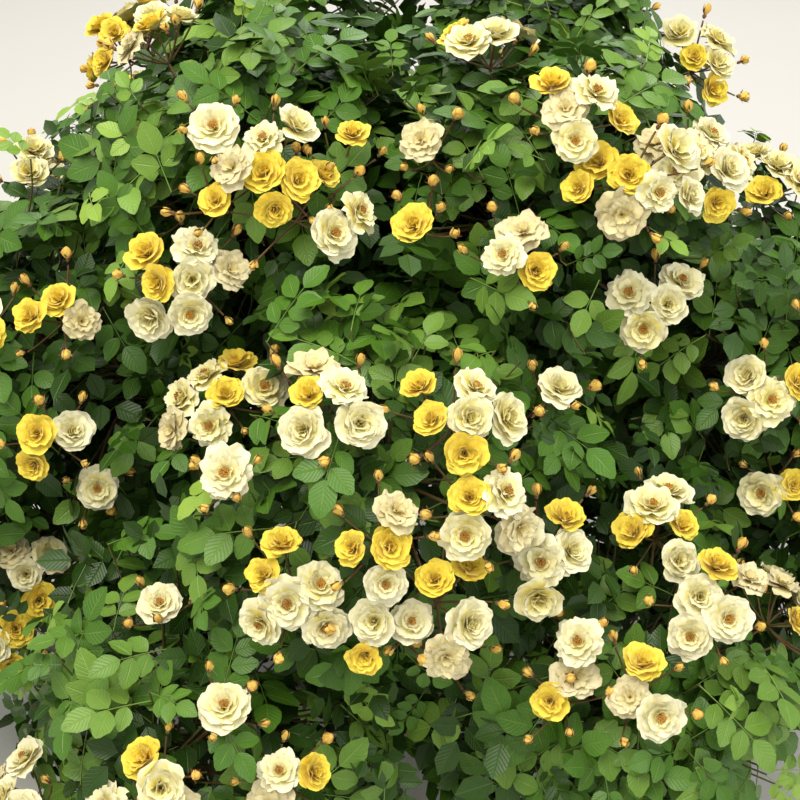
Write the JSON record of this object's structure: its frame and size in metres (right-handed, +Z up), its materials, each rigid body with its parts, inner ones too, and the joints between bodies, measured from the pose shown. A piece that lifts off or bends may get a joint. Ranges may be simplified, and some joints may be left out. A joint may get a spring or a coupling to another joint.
{
  "type": "rose bush",
  "caption": "bushy garden rose in full bloom, a rounded crown of leafy canes from a short woody stool, with trusses of cream and yellow semi-double blooms",
  "frame": {"origin": "middle of the flat cut under the stool, at ground level", "axes": "+Z up, +X to the right seen from the front, the side that faces -Y is the front"},
  "size_m": [1.4263, 1.3003, 1.0401],
  "materials": {
    "bark": "matte, grey-brown, furrowed",
    "cane_bark": "satin, green-brown",
    "foliage": "satin leaf green",
    "young_foliage": "satin light green",
    "cream_petals": "soft matte",
    "yellow_petals": "soft matte",
    "faded_petals": "soft matte"
  },
  "bodies": {
    "root": {"stool": "bark", "cane_front_1": "cane_bark", "cane_low_1": "cane_bark", "cane_low_2": "cane_bark", "cane_low_3": "cane_bark", "cane_low_4": "cane_bark", "cane_low_5": "cane_bark", "cane_low_6": "cane_bark", "cane_middle_1": "cane_bark", "cane_middle_2": "cane_bark", "cane_middle_3": "cane_bark", "cane_middle_4": "cane_bark", "cane_middle_5": "cane_bark", "cane_top_1": "cane_bark", "cane_top_2": "cane_bark", "cane_top_3": "cane_bark", "cane_top_4": "cane_bark", "foliage_front_1": "foliage", "foliage_low_1": "foliage", "foliage_low_2": "foliage", "foliage_low_3": "foliage", "foliage_low_4": "foliage", "foliage_low_5": "foliage", "foliage_low_6": "foliage", "foliage_middle_1": "foliage", "foliage_middle_2": "foliage", "foliage_middle_3": "foliage", "foliage_middle_4": "foliage", "foliage_middle_5": "foliage", "foliage_top_1": "foliage", "foliage_top_2": "foliage", "foliage_top_3": "foliage", "foliage_top_4": "foliage"}
  },
  "joints": []
}
